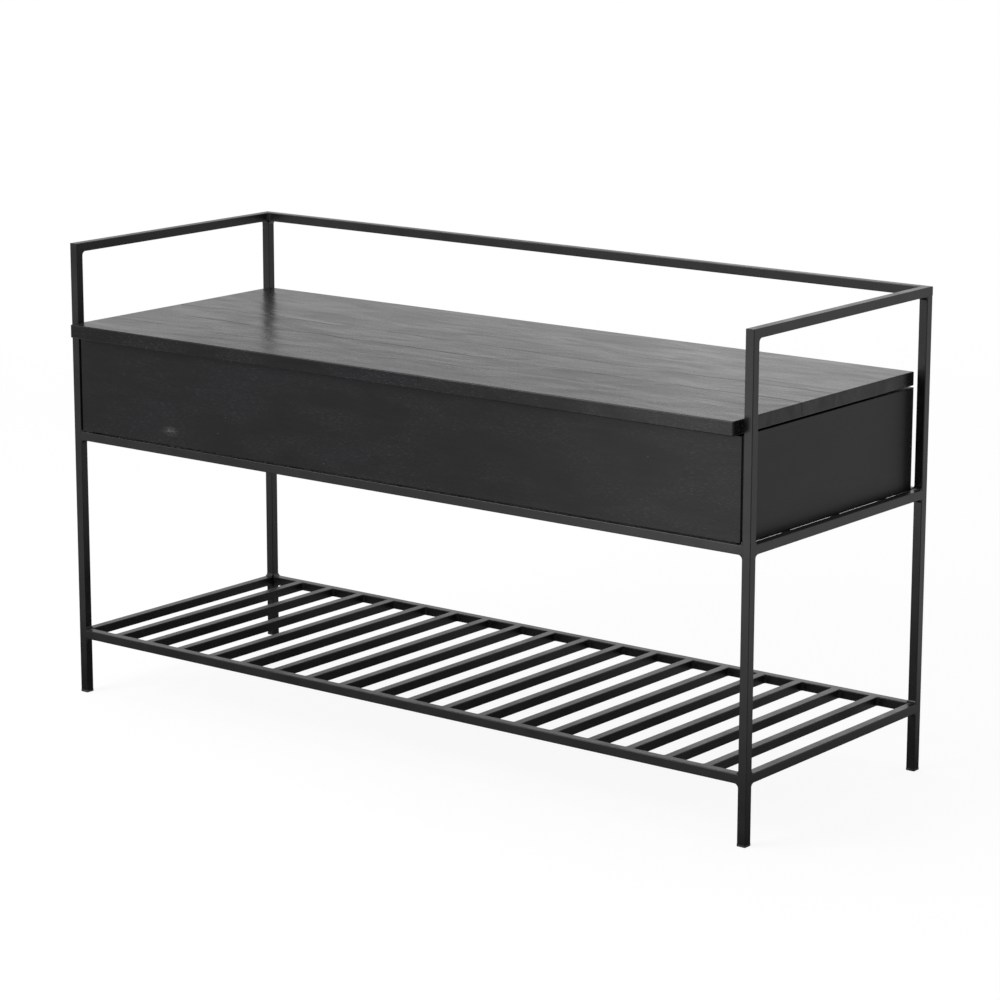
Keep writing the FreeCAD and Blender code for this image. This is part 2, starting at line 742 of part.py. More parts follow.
def make_hinges():
    for side, middle in (("left", "-hinge_right"), ("right", "hinge_right")):
        end = f"{middle} + leaf_length / 2"
        start = f"{middle} - leaf_length / 2"
        hinge_leaf(f"hinge_{side}_box_leaf", middle, "box_top", "box_top + leaf_thickness", False,
                   [(f"{middle} - knuckle_half", f"{middle} + knuckle_half")])
        hinge_leaf(f"hinge_{side}_lid_leaf", middle, "lid_bottom - leaf_thickness",
                   "lid_bottom - leaf_thickness", True,
                   [(start, f"{middle} - knuckle_half + leaf_play"),
                    (f"{middle} + knuckle_half - leaf_play", end)])
        subpart(rod("X", (start, "hinge_back", "hinge_height"), "leaf_length", "hinge_pin_radius"),
                f"hinge_{side}_pin")


def make_hinge_screws():
    """Countersunk screws: down through the box leaves and up through the lid leaves."""
    shank = "hinge_screw_length - hinge_head_height"
    box_screws = []
    lid_screws = []
    for spot in leaf_screw_spots():
        face = "box_top + leaf_thickness"
        head = cone((spot, "back_middle", f"{face} - hinge_head_height"), "hinge_head_height",
                    "hinge_screw_radius", "hinge_head_radius")
        body = rod("Z", (spot, "back_middle", f"{face} - hinge_screw_length"), shank, "hinge_screw_radius")
        box_screws.append(fused(head, body))
        face = "lid_bottom - leaf_thickness"
        head = cone((spot, "back_middle", face), "hinge_head_height",
                    "hinge_head_radius", "hinge_screw_radius")
        body = rod("Z", (spot, "back_middle", f"{face} + hinge_head_height"), shank, "hinge_screw_radius")
        lid_screws.append(fused(head, body))
    group("hinge_box_leaf_screws", box_screws)
    group("hinge_lid_leaf_screws", lid_screws)


def make_bumpers():
    """Rubber buttons on the box's front edge, which take the lid's weight."""
    bumpers = []
    for spot in ("-box_right + bumper_inset", "box_right - bumper_inset"):
        bumpers.append(rod("Z", (spot, "front_middle", "box_top"), "lid_gap - bumper_play",
                           "bumper_radius"))
    group("lid_bumpers", bumpers)


# ---------------------------------------------------------------- the whole bench

def check_everything():
    """Stop if any object failed, or any piece is empty or broken."""
    for thing in doc.Objects:
        if {"Invalid", "Error"} & set(thing.State):
            raise RuntimeError(f"{thing.Name} ({thing.Label}) failed: {thing.State}")
    for piece in subparts:
        if piece.Shape.isNull() or not piece.Shape.isValid() or not piece.Shape.Solids:
            raise RuntimeError(f"{piece.Label} has no sound shape")


def export_everything():
    """Write one STEP file for each piece, named as its node."""
    os.makedirs("parts", exist_ok=True)
    for piece in subparts:
        piece.Shape.exportStep(f"parts/{piece.Label}.step")


fill_sheet()
make_posts()
make_top_rails()
make_rail_ring("seat_rail", "seat_rail_top")
make_rail_ring("shelf_rail", "shelf_rail_top")
make_slats()
make_foot_caps()
make_top_welds()
make_ring_welds("seat_rail_welds", "seat_rail_top")
make_ring_welds("shelf_rail_welds", "shelf_rail_top")
make_slat_welds()
make_tabs()
make_front_panel()
make_side_panel("left")
make_side_panel("right")
make_back_panel()
make_floor_panel()
make_dowels()
make_lid()
make_hinges()
make_hinge_screws()
make_bumpers()
doc.recompute()
check_everything()
export_everything()
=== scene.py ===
import json
import math
from collections import namedtuple

import bmesh
import bpy
from bpy.props import FloatProperty, FloatVectorProperty, IntProperty, PointerProperty
from mathutils import Matrix, Quaternion, Vector

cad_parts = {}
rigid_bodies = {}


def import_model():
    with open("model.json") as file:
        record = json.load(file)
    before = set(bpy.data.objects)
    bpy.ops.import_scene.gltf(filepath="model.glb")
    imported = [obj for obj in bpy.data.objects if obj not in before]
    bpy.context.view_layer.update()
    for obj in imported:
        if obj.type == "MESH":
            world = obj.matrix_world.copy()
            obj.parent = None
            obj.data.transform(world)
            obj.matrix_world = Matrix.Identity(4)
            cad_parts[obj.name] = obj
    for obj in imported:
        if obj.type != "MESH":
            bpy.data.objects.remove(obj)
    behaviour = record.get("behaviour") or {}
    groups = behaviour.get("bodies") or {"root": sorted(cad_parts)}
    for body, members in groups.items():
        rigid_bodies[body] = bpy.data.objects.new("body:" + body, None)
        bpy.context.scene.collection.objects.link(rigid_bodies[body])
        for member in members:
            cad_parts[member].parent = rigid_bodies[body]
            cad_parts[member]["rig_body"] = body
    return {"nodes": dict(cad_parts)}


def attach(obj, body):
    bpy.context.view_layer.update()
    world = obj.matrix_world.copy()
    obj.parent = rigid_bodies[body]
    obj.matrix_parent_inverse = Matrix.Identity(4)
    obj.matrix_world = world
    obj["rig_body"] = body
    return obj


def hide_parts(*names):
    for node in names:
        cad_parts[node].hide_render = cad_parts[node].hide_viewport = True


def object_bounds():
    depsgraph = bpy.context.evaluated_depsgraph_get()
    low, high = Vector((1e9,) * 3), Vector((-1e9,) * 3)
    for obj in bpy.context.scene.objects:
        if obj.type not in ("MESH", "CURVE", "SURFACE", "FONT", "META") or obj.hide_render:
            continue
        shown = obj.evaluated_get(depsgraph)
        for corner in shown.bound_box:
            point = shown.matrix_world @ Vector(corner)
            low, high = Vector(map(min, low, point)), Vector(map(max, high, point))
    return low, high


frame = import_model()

bl_info = {
    "name": "Entryway Bench Finish",
    "version": (1, 0, 0),
    "blender": (4, 5, 0),
    "location": "3D View > Sidebar > Bench",
    "description": "Gives the entryway bench its coat, its stained boards, its screws and a studio",
    "category": "Object",
}

NODES = frame["nodes"]
# The lowest and the highest corner of the CAD model, measured before anything is added to it.
CAD_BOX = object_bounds()
MM = 0.001


def named(*starts):
    """The CAD nodes whose names start with one of these, in order."""
    return sorted(name for name in NODES if name.startswith(starts))


def linear(code):
    """An sRGB hex colour as linear red, green and blue."""
    parts = (int(code[i:i + 2], 16) / 255 for i in (1, 3, 5))
    return tuple(p / 12.92 if p <= 0.04045 else ((p + 0.055) / 1.055) ** 2.4 for p in parts)


def size(name, description, default):
    """A length property, shown in the scene's unit."""
    return FloatProperty(name=name, description=description, default=default, unit="LENGTH",
                         precision=5)


def colour(name, description, code):
    """A colour property from an sRGB hex default."""
    return FloatVectorProperty(name=name, description=description, default=linear(code),
                               subtype="COLOR", size=3, min=0, max=1)


def share(name, description, default, lowest=0):
    """A property from 0, or from the lowest value that works, to 1."""
    return FloatProperty(name=name, description=description, default=default, min=lowest, max=1,
                         subtype="FACTOR")


# ---------------------------------------------------------------- what a user may change

class BenchCoat(bpy.types.PropertyGroup):
    """The powder coat on the steel tubes."""
    shade: colour("Coat", "Colour of the cured powder", "#0f0f10")
    thin_shade: colour("Thin Coat", "Colour where the coat lies thinner", "#181819")
    roughness: share("Roughness", "Satin gloss of the coat", 0.34)
    drift_size: size("Drift", "Distance over which the coat's thickness drifts", 45 * MM)
    peel_spacing: size("Orange Peel", "Distance between the ripples of the coat", 1.6 * MM)
    peel_height: size("Peel Height", "Height of the ripples", 0.006 * MM)


class BenchWood(bpy.types.PropertyGroup):
    """The stained boards of the box and the lid."""
    stain: colour("Stain", "Colour of the stain where the wood drank it", "#0a0a0a")
    bare: colour("Hard Grain", "Colour where hard late wood kept the stain out", "#191819")
    cool: colour("Cool Stain", "Colour where the stain lies thick and bluish", "#18181c")
    # Besides dust and filled pores, this pale colour also paints a glint on the raised fibres.
    speck: colour("Speck", "Dust and filled pores under the lacquer", "#6c6b6b")
    roughness: share("Roughness", "Satin gloss of the lacquer on a well rubbed board", 0.3)
    lid_figure: share("Lid Figure", "How strongly the figure shows on the lid", 1.0, lowest=0.1)
    wall_figure: share("Wall Figure", "How strongly it shows on the front and back walls", 0.6, lowest=0.1)
    end_figure: share("End Figure", "How strongly it shows on the end walls", 0.25, lowest=0.1)
    stave_width: size("Stave Width", "Width of the staves that are glued into a board", 70 * MM)
    seam_place: size("Seam Place", "Where one glue line of the lid lies, along Y", -60 * MM)
    seam_width: size("Seam Width", "Width of the soft dip along a glue line", 3.5 * MM)
    seam_wander: size("Seam Wander", "How far a glue line wanders to either side", 13 * MM)
    seam_depth: size("Seam Depth", "How far a glue line dips under the surface", 0.015 * MM)
    seam_reach: size("Seam Reach", "How far from the first glue line others still show", 115 * MM)
    cloud_length: size("Cloud Length", "Length of the soft clouds of the figure", 110 * MM)
    cloud_width: size("Cloud Width", "Width of the soft clouds of the figure", 40 * MM)
    cloud_height: size("Cloud Height", "How far the clouds lift the lacquer's surface", 1.45 * MM)
    streak_length: size("Streak Length", "Length of the darker streaks", 44 * MM)
    streak_width: size("Streak Width", "Width of the darker streaks", 5.98 * MM)
    streak_height: size("Streak Height", "How far the streaks lift the surface", 0.03 * MM)
    fibre_length: size("Fibre Length", "Length of the drawn fibres", 6.5 * MM)
    fibre_spacing: size("Fibre", "Distance between the drawn fibres", 1.3 * MM)
    fibre_height: size("Fibre Height", "How far the fibres lift the surface", 0.006 * MM)
    pore_length: size("Pore Length", "Length of an open pore", 7 * MM)
    pore_spacing: size("Pore Spacing", "Distance between rows of open pores", 1.5 * MM)
    pore_depth: size("Pore Depth", "Depth of an open pore under the lacquer", 0.005 * MM)
    speck_spacing: size("Speck Spacing", "Size of the cells that hold a speck at most", 13 * MM)
    scuff_place: FloatVectorProperty(name="Scuff Place", description="Where the front wall is scuffed",
                                     default=(-373 * MM, -190 * MM, 389 * MM), subtype="TRANSLATION",
                                     precision=5, size=3)
    scuff_size: size("Scuff Size", "Half the length of the scuff", 20 * MM)


class BenchFittings(bpy.types.PropertyGroup):
    """The foot caps, the rubber buttons, the dowels and the hinge steel."""
    # Both cap colours are set paler, partly as a painted highlight for the gloss on the flange's rim; the
    # paler one also marks scuffs.
    cap: colour("Cap", "Colour of the moulded foot caps", "#242424")
    cap_scuff_and_highlight: colour("Worn Cap", "Colour of the caps where they are scuffed", "#626260")
    rubber: colour("Rubber", "Colour of the rubber buttons", "#161616")
    rubber_worn: colour("Worn Rubber", "Colour of the buttons where they are scuffed", "#2a2a29")
    beech: colour("Beech", "Colour of the dowels' pale wood", "#e3c193")
    beech_fleck: colour("Beech Fleck", "Colour of the flecks in it", "#c9a06c")
    zinc: colour("Black Zinc", "Colour of the plating at its darkest", "#434347")
    zinc_cloud: colour("Zinc Cloud", "Colour of the paler patches in the plating", "#6b6a6c")


class BenchScrew(bpy.types.PropertyGroup):
    """The cross recess of the screws."""
    arm: size("Recess Arm", "Reach of each arm of the recess from the screw's middle", 1.45 * MM)
    slot: size("Recess Slot", "Width of each arm of the recess", 0.75 * MM)
    depth: size("Recess Depth", "Depth of the recess", 1.0 * MM)
    pan_scale: FloatProperty(name="Pan Recess", description="Recess of a pan head over this one",
                             default=1.25, min=1)
    segments: IntProperty(name="Segments", description="Facets round a screw head", default=32, min=8)


class BenchStage(bpy.types.PropertyGroup):
    """The camera, the floor and the light."""
    azimuth: FloatProperty(name="Azimuth", description="Camera's turn from the front to the right",
                           default=math.radians(37.945), subtype="ANGLE")
    elevation: FloatProperty(name="Elevation", description="Camera's angle above the horizon",
                             default=math.radians(12.455), subtype="ANGLE")
    roll: FloatProperty(name="Roll", description="Camera's turn about its own line of sight",
                        default=math.radians(0.048), subtype="ANGLE")
    distance: size("Distance", "From the camera to its target", 4.438)
    target: FloatVectorProperty(name="Target", description="The point the camera looks at",
                                default=(0.00187, 0.00885, 0.3326), subtype="TRANSLATION", size=3)
    lens: FloatProperty(name="Lens", description="Focal length in millimetres", default=121.97)
    shift: FloatVectorProperty(name="Shift", description="Lens shift, as a share of the sensor",
                               default=(0.015, -0.015), size=2)
    floor_radius: size("Floor Radius", "Where the pale floor has faded out", 3.4)
    floor_fade: share("Floor Fade", "Share of that radius at which the floor starts to fade", 0.45)
    floor_shade: colour("Floor", "Colour of the floor", "#f6f6f6")
    shadow: share("Shadow", "How much of the floor's own shading shows", 0.16)
    open_floor: share("Open Floor", "How bright the lamps alone make the open floor", 0.68)
    floor_dim: share("Floor Dim", "How bright the bench's gloss finds the floor under it", 0.12)
    floor_dim_reach: size("Floor Dim Reach", "How far past the bench the floor stays dimmed", 0.6)
    room: share("Room Light", "Brightness of the even light from all round", 0.42)
    walls: share("Walls", "Brightness of the room's walls in the bench's gloss", 0.7)


# ---------------------------------------------------------------- nodes and materials

def add(tree, kind, inputs=None, **settings):
    """Add a node, set its properties, then set or link its inputs by name or number. A node
    that is given as a value stands for its first output in use."""
    node = tree.nodes.new(kind)
    for name, value in settings.items():
        setattr(node, name, value)
    for key, value in (inputs or {}).items():
        if isinstance(key, str):
            key = next(k for k, socket in enumerate(node.inputs) if socket.enabled and socket.name == key)
        if isinstance(value, bpy.types.Node):
            value = next(socket for socket in value.outputs if socket.enabled)
        if isinstance(value, bpy.types.NodeSocket):
            tree.links.new(value, node.inputs[key])
        else:
            node.inputs[key].default_value = value
    return node


def new_material(name):
    """A material and its node tree, emptied."""
    material = bpy.data.materials.new(name)
    material.use_nodes = True
    material.node_tree.nodes.clear()
    return material, material.node_tree


def surface(tree, shader):
    """Link a shader to the material's output."""
    add(tree, "ShaderNodeOutputMaterial", {"Surface": shader})


def powder_coated_steel(coat):
    """Polyester powder baked on ground steel tube: satin black, with a faint orange peel that
    breaks up the long reflections, and a little paler and duller where it drifts thin."""
    material, tree = new_material("Powder Coated Steel")
    place = add(tree, "ShaderNodeTexCoord").outputs["Object"]
    peel = add(tree, "ShaderNodeTexNoise", {
        "Vector": place, "Scale": 1 / coat.peel_spacing, "Detail": 1.5, "Roughness": 0.4,
    })
    drift = add(tree, "ShaderNodeTexNoise", {
        "Vector": place, "Scale": 1 / coat.drift_size, "Detail": 3, "Roughness": 0.6,
    })
    tone = add(tree, "ShaderNodeMapRange", {"Value": drift, "From Min": 0.35, "From Max": 0.7})
    shade = add(tree, "ShaderNodeMix", {
        "Factor": tone, "A": (*coat.shade, 1), "B": (*coat.thin_shade, 1),
    }, data_type="RGBA")
    gloss = add(tree, "ShaderNodeMapRange", {
        "Value": drift, "From Min": 0.3, "From Max": 0.7,
        "To Min": coat.roughness - 0.05, "To Max": coat.roughness + 0.06,
    })
    bump = add(tree, "ShaderNodeBump", {"Height": peel, "Distance": coat.peel_height, "Strength": 1})
    surface(tree, add(tree, "ShaderNodeBsdfPrincipled", {
        "Base Color": shade, "Roughness": gloss, "Normal": bump, "IOR": 1.5,
    }))
    return material


def grain(tree, axes, length, width, start=0.0):
    """Coordinates in which a figure of size one is this long and this wide on the board."""
    along, across, into = axes
    moved = add(tree, "ShaderNodeMath", {0: along, 1: start}, operation="ADD")
    spot = add(tree, "ShaderNodeCombineXYZ", {0: moved, 1: across, 2: into})
    return add(tree, "ShaderNodeVectorMath", {0: spot, 1: (length, width, width)}, operation="DIVIDE")


def weighed(tree, total, parts):
    """A total to which each part is added times its weight."""
    for value, weight in parts:
        total = add(tree, "ShaderNodeMath", {0: value, 1: weight, 2: total}, operation="MULTIPLY_ADD")
    return total


def glue_lines(tree, axes, wood):
    """How far on each stave's figure starts, so that neighbours differ, and the lines between
    the staves, which wander, fade in places and show less far from the first one."""
    wander_length, wander_width = 160 * MM, 200 * MM
    patch_length, patch_width = 140 * MM, 50 * MM
    farthest_start = 3.0
    waver = add(tree, "ShaderNodeTexNoise", {
        "Vector": grain(tree, axes, wander_length, wander_width), "Scale": 1,
        "Detail": 3, "Roughness": 0.6,
    })
    first = weighed(tree, -wood.seam_wander, [(waver, 2 * wood.seam_wander)])
    moved = add(tree, "ShaderNodeMath", {0: axes[1], 1: first}, operation="ADD")
    aside = add(tree, "ShaderNodeMath", {0: moved, 1: wood.seam_place}, operation="SUBTRACT")
    stave = add(tree, "ShaderNodeMath", {0: aside, 1: wood.stave_width}, operation="DIVIDE")
    number = add(tree, "ShaderNodeMath", {0: stave}, operation="FLOOR")
    luck = add(tree, "ShaderNodeTexWhiteNoise", {"W": number}, noise_dimensions="1D")
    start = add(tree, "ShaderNodeMath", {0: luck, 1: farthest_start}, operation="MULTIPLY")

    off_line = add(tree, "ShaderNodeMath", {0: stave, 1: 0.5}, operation="PINGPONG")
    line = add(tree, "ShaderNodeMapRange", {
        "Value": off_line, "From Min": 0, "From Max": wood.seam_width / wood.stave_width,
        "To Min": 1, "To Max": 0,
    }, interpolation_type="SMOOTHSTEP")
    distance = add(tree, "ShaderNodeMath", {0: aside}, operation="ABSOLUTE")
    near = add(tree, "ShaderNodeMapRange", {
        "Value": distance, "From Min": wood.stave_width / 2, "From Max": wood.seam_reach,
        "To Min": 1, "To Max": 0,
    }, interpolation_type="SMOOTHSTEP")
    patches = add(tree, "ShaderNodeTexNoise", {
        "Vector": grain(tree, axes, patch_length, patch_width), "Scale": 1,
        "Detail": 2, "Roughness": 0.5,
    })
    kept = add(tree, "ShaderNodeMapRange", {
        "Value": patches, "From Min": 0.36, "From Max": 0.6, "To Min": 0.15, "To Max": 1,
    }, interpolation_type="SMOOTHSTEP")
    shown = add(tree, "ShaderNodeMath", {0: near, 1: kept}, operation="MULTIPLY")
    return start, add(tree, "ShaderNodeMath", {0: line, 1: shown}, operation="MULTIPLY")


def open_pores(tree, axes, wood, clouds, contrast):
    """Short open pores, in some of the cells of a stretched pattern and mostly in the clouds."""
    cells = add(tree, "ShaderNodeTexVoronoi", {
        "Vector": grain(tree, axes, wood.pore_length, wood.pore_spacing), "Scale": 1, "Randomness": 1,
    })
    luck = add(tree, "ShaderNodeSeparateColor", {0: cells.outputs["Color"]})
    chosen = add(tree, "ShaderNodeMapRange", {
        "Value": weighed(tree, luck.outputs[0], [(clouds, 0.6)]), "From Min": 0.85, "From Max": 1,
    }, interpolation_type="SMOOTHSTEP")
    pore = add(tree, "ShaderNodeMapRange", {
        "Value": cells, "From Min": 0.12, "From Max": 0.34, "To Min": contrast, "To Max": 0,
    }, interpolation_type="SMOOTHSTEP")
    return add(tree, "ShaderNodeMath", {0: pore, 1: chosen}, operation="MULTIPLY")


def pale_specks_and_glints(tree, place, wood, clouds, fibres, contrast):
    """A few round specks, and pale flecks along the raised fibres inside the clouds, which are partly dust
    and partly a painted glint where the fibre tops catch the light.
    """
    # Of all cells, this share holds a speck, with this radius over the cell's size.
    speck_share, speck_radius = 0.12, 0.035
    cells = add(tree, "ShaderNodeTexVoronoi", {
        "Vector": place, "Scale": 1 / wood.speck_spacing, "Randomness": 1,
    })
    luck = add(tree, "ShaderNodeSeparateColor", {0: cells.outputs["Color"]})
    chosen = add(tree, "ShaderNodeMath", {0: luck, 1: 1 - speck_share}, operation="GREATER_THAN")
    inside = add(tree, "ShaderNodeMath", {0: cells, 1: speck_radius}, operation="LESS_THAN")
    speck = add(tree, "ShaderNodeMath", {0: chosen, 1: inside}, operation="MULTIPLY")
    # Pale flecks on the raised fibres: partly dust, partly a painted glint.
    fibre_dust_and_glint = add(tree, "ShaderNodeMapRange", {
        "Value": fibres, "From Min": 0.52, "From Max": 0.75, "To Min": 0, "To Max": 0.2 * contrast,
    }, interpolation_type="SMOOTHSTEP")
    settled = add(tree, "ShaderNodeMapRange", {
        "Value": clouds, "From Min": 0.3, "From Max": 0.65,
    }, interpolation_type="SMOOTHSTEP")
    settled_dust_and_glint = add(tree, "ShaderNodeMath", {0: fibre_dust_and_glint, 1: settled}, operation="MULTIPLY")
    return add(tree, "ShaderNodeMath", {0: speck, 1: settled_dust_and_glint}, operation="MAXIMUM")


def rubbed_scuff(tree, place, wood, fibres):
    """One scuff, longer than it is high, where the lacquer is rubbed off the raised fibres."""
    length_to_height = 2.2
    away = add(tree, "ShaderNodeVectorMath", {0: place, 1: wood.scuff_place}, operation="SUBTRACT")
    rounded = add(tree, "ShaderNodeVectorMath", {0: away, 1: (1, 1, length_to_height)}, operation="MULTIPLY")
    reach = add(tree, "ShaderNodeVectorMath", {0: rounded}, operation="LENGTH")
    rubbed = add(tree, "ShaderNodeMapRange", {
        "Value": reach, "From Min": 0, "From Max": wood.scuff_size, "To Min": 0.5, "To Max": 0,
    }, interpolation_type="SMOOTHSTEP")
    raised = add(tree, "ShaderNodeMapRange", {
        "Value": fibres, "From Min": 0.35, "From Max": 0.65,
    }, interpolation_type="SMOOTHSTEP")
    return add(tree, "ShaderNodeMath", {0: rubbed, 1: raised}, operation="MULTIPLY")


def stained_board(name, wood, along, across, contrast, glued=False, scuffed=False):
    """A board of edge-glued staves, stained black, lacquered satin and rubbed: soft clouds of figure and
    close fibres run along it and bend the sheen, the staves meet in thin wandering dark lines, and short
    open pores and a few pale specks catch the light. Pale flecks along the raised fibres are partly dust and
    partly a painted glint."""
    material, tree = new_material(name)
    place = add(tree, "ShaderNodeTexCoord").outputs["Object"]
    split = add(tree, "ShaderNodeSeparateXYZ", {0: place})
    into = ({"X", "Y", "Z"} - {along, across}).pop()
    axes = [split.outputs[axis] for axis in (along, across, into)]
    start, line = glue_lines(tree, axes, wood) if glued else (0.0, 0.0)

    clouds = add(tree, "ShaderNodeTexNoise", {
        "Vector": grain(tree, axes, wood.cloud_length, wood.cloud_width, start), "Scale": 1,
        "Detail": 1.5, "Roughness": 0.4, "Distortion": 0.6,
    })
    streaks = add(tree, "ShaderNodeTexNoise", {
        "Vector": grain(tree, axes, wood.streak_length, wood.streak_width, start), "Scale": 1,
        "Detail": 2, "Roughness": 0.5,
    })
    # Real fibres are 0.3 mm apart, too fine to show, so they are drawn wider.
    fibres = add(tree, "ShaderNodeTexNoise", {
        "Vector": grain(tree, axes, wood.fibre_length, wood.fibre_spacing), "Scale": 1,
        "Detail": 2, "Roughness": 0.65,
    })
    pores = open_pores(tree, axes, wood, clouds, contrast)
    # Round specks, and pale flecks on the fibres that are partly dust and partly a painted glint.
    pale = pale_specks_and_glints(tree, place, wood, clouds, fibres, contrast)
    if scuffed:
        scuff = rubbed_scuff(tree, place, wood, fibres)
        pale = add(tree, "ShaderNodeMath", {0: pale, 1: scuff}, operation="MAXIMUM")

    figure = weighed(tree, 0.0, [(fibres, 0.2), (streaks, 0.3), (clouds, 0.5), (line, -0.12)])
    tone = add(tree, "ShaderNodeMapRange", {
        "Value": figure, "From Min": 0.5 - 0.16 / contrast, "From Max": 0.5 + 0.16 / contrast,
    }, interpolation_type="SMOOTHSTEP")
    tint_length, tint_width = 300 * MM, 120 * MM
    cooler = add(tree, "ShaderNodeTexNoise", {
        "Vector": grain(tree, axes, tint_length, tint_width), "Scale": 1, "Detail": 1, "Roughness": 0.5,
    })
    bluish = add(tree, "ShaderNodeMapRange", {
        "Value": cooler, "From Min": 0.42, "From Max": 0.62,
    }, interpolation_type="SMOOTHSTEP")
    hard = add(tree, "ShaderNodeMix", {
        "Factor": bluish, "A": (*wood.bare, 1), "B": (*wood.cool, 1),
    }, data_type="RGBA")
    shade = add(tree, "ShaderNodeMix", {
        "Factor": tone, "A": (*wood.stain, 1), "B": hard,
    }, data_type="RGBA")
    # The speck colour goes on the specks and the scuff, and on the fibres as dust with a painted glint.
    with_specks_and_glints = add(tree, "ShaderNodeMix", {
        "Factor": pale, "A": shade, "B": (*wood.speck, 1),
    }, data_type="RGBA")
    # The plainer boards were rubbed less, so they are duller.
    plain = wood.roughness + 0.15 * (1 - contrast)
    rough = weighed(tree, plain, [(tone, -0.06 * contrast), (line, 0.16), (pores, 0.12)])

    # The heights add up in millimetres, which the bump's distance turns into metres.
    height = weighed(tree, 0.0, [
        (clouds, wood.cloud_height / MM * contrast), (streaks, wood.streak_height / MM * contrast),
        (fibres, wood.fibre_height / MM * contrast), (line, -wood.seam_depth / MM),
        (pores, -wood.pore_depth / MM),
    ])
    bump = add(tree, "ShaderNodeBump", {"Height": height, "Distance": MM, "Strength": 1})
    # A thin, rubbed lacquer mirrors less than a full coat, so its IOR is under 1.5.
    surface(tree, add(tree, "ShaderNodeBsdfPrincipled", {
        "Base Color": with_specks_and_glints, "Roughness": rough, "Normal": bump, "IOR": 1.38,
    }))
    return material


def stained_plywood(wood):
    """Rotary-cut plywood under the same black stain: wide, lazy figure and no glue lines."""
    material, tree = new_material("Stained Plywood")
    place = add(tree, "ShaderNodeTexCoord").outputs["Object"]
    figures_per_metre = (2.5, 28, 28)
    stretched = add(tree, "ShaderNodeVectorMath", {0: place, 1: figures_per_metre}, operation="MULTIPLY")
    figure = add(tree, "ShaderNodeTexNoise", {
        "Vector": stretched, "Scale": 1, "Detail": 5, "Roughness": 0.6, "Distortion": 1.2,
    })
    tone = add(tree, "ShaderNodeMapRange", {"Value": figure, "From Min": 0.35, "From Max": 0.7})
    shade = add(tree, "ShaderNodeMix", {
        "Factor": tone, "A": (*wood.stain, 1), "B": (*wood.bare, 1),
    }, data_type="RGBA")
    bump = add(tree, "ShaderNodeBump", {"Height": figure, "Distance": 0.08 * MM, "Strength": 1})
    surface(tree, add(tree, "ShaderNodeBsdfPrincipled", {
        "Base Color": shade, "Roughness": 0.55, "Normal": bump, "IOR": 1.4,
    }))
    return material


def turned_beech(fittings):
    """Plain beech dowel: pale and pinkish, with short darker flecks along it."""
    material, tree = new_material("Turned Beech")
    place = add(tree, "ShaderNodeTexCoord").outputs["Object"]
    flecks = add(tree, "ShaderNodeTexNoise", {
        "Vector": place, "Scale": 1 / (1.5 * MM), "Detail": 2, "Roughness": 0.6,
    })
    shade = add(tree, "ShaderNodeMix", {
        "Factor": flecks, "A": (*fittings.beech_fleck, 1), "B": (*fittings.beech, 1),
    }, data_type="RGBA")
    bump = add(tree, "ShaderNodeBump", {"Height": flecks, "Distance": 0.03 * MM, "Strength": 1})
    surface(tree, add(tree, "ShaderNodeBsdfPrincipled", {
        "Base Color": shade, "Roughness": 0.6, "Normal": bump,
    }))
    return material


def moulded(name, shade, scuff_and_highlight_shade, roughness, grit, grit_height):
    """A moulded cap or button: even black with the fine grit of the mould, and a little paler in drifts. On
    the buttons the drifts are scuffs; on the foot caps they are scuffs and also a painted highlight,
    standing for the gloss on the flange."""
    material, tree = new_material(name)
    place = add(tree, "ShaderNodeTexCoord").outputs["Object"]
    texture = add(tree, "ShaderNodeTexNoise", {
        "Vector": place, "Scale": 1 / grit, "Detail": 2, "Roughness": 0.7,
    })
    scuffs = add(tree, "ShaderNodeTexNoise", {
        "Vector": place, "Scale": 1 / (6 * MM), "Detail": 4, "Roughness": 0.7,
    })
    scuff_and_highlight = add(tree, "ShaderNodeMapRange", {"Value": scuffs, "From Min": 0.45, "From Max": 0.75})
    mixed = add(tree, "ShaderNodeMix", {
        "Factor": scuff_and_highlight, "A": (*shade, 1), "B": (*scuff_and_highlight_shade, 1),
    }, data_type="RGBA")
    gloss = add(tree, "ShaderNodeMapRange", {
        "Value": texture, "To Min": roughness - 0.05, "To Max": roughness + 0.08,
    })
    bump = add(tree, "ShaderNodeBump", {"Height": texture, "Distance": grit_height, "Strength": 1})
    surface(tree, add(tree, "ShaderNodeBsdfPrincipled", {
        "Base Color": mixed, "Roughness": gloss, "Normal": bump, "IOR": 1.5,
    }))
    return material


def black_zinc_steel(fittings):
    """Rolled steel with black-passivated zinc: dark metal with a faint brushed line along the
    hinge and cloudy patches in the plating."""
    material, tree = new_material("Black Zinc Steel")
    place = add(tree, "ShaderNodeTexCoord").outputs["Object"]
    drawn_out = (0.04, 1, 1)
    stretched = add(tree, "ShaderNodeVectorMath", {0: place, 1: drawn_out}, operation="MULTIPLY")
    lines = add(tree, "ShaderNodeTexNoise", {
        "Vector": stretched, "Scale": 1 / (0.5 * MM), "Detail": 2, "Roughness": 0.6,
    })
    clouds = add(tree, "ShaderNodeTexNoise", {
        "Vector": place, "Scale": 1 / (9 * MM), "Detail": 4, "Roughness": 0.6,
    })
    shade = add(tree, "ShaderNodeMix", {
        "Factor": clouds, "A": (*fittings.zinc, 1), "B": (*fittings.zinc_cloud, 1),
    }, data_type="RGBA")
    gloss = add(tree, "ShaderNodeMapRange", {"Value": lines, "To Min": 0.26, "To Max": 0.46})
    bump = add(tree, "ShaderNodeBump", {"Height": lines, "Distance": 0.01 * MM, "Strength": 1})
    surface(tree, add(tree, "ShaderNodeBsdfPrincipled", {
        "Base Color": shade, "Metallic": 1, "Roughness": gloss, "Normal": bump,
    }))
    return material


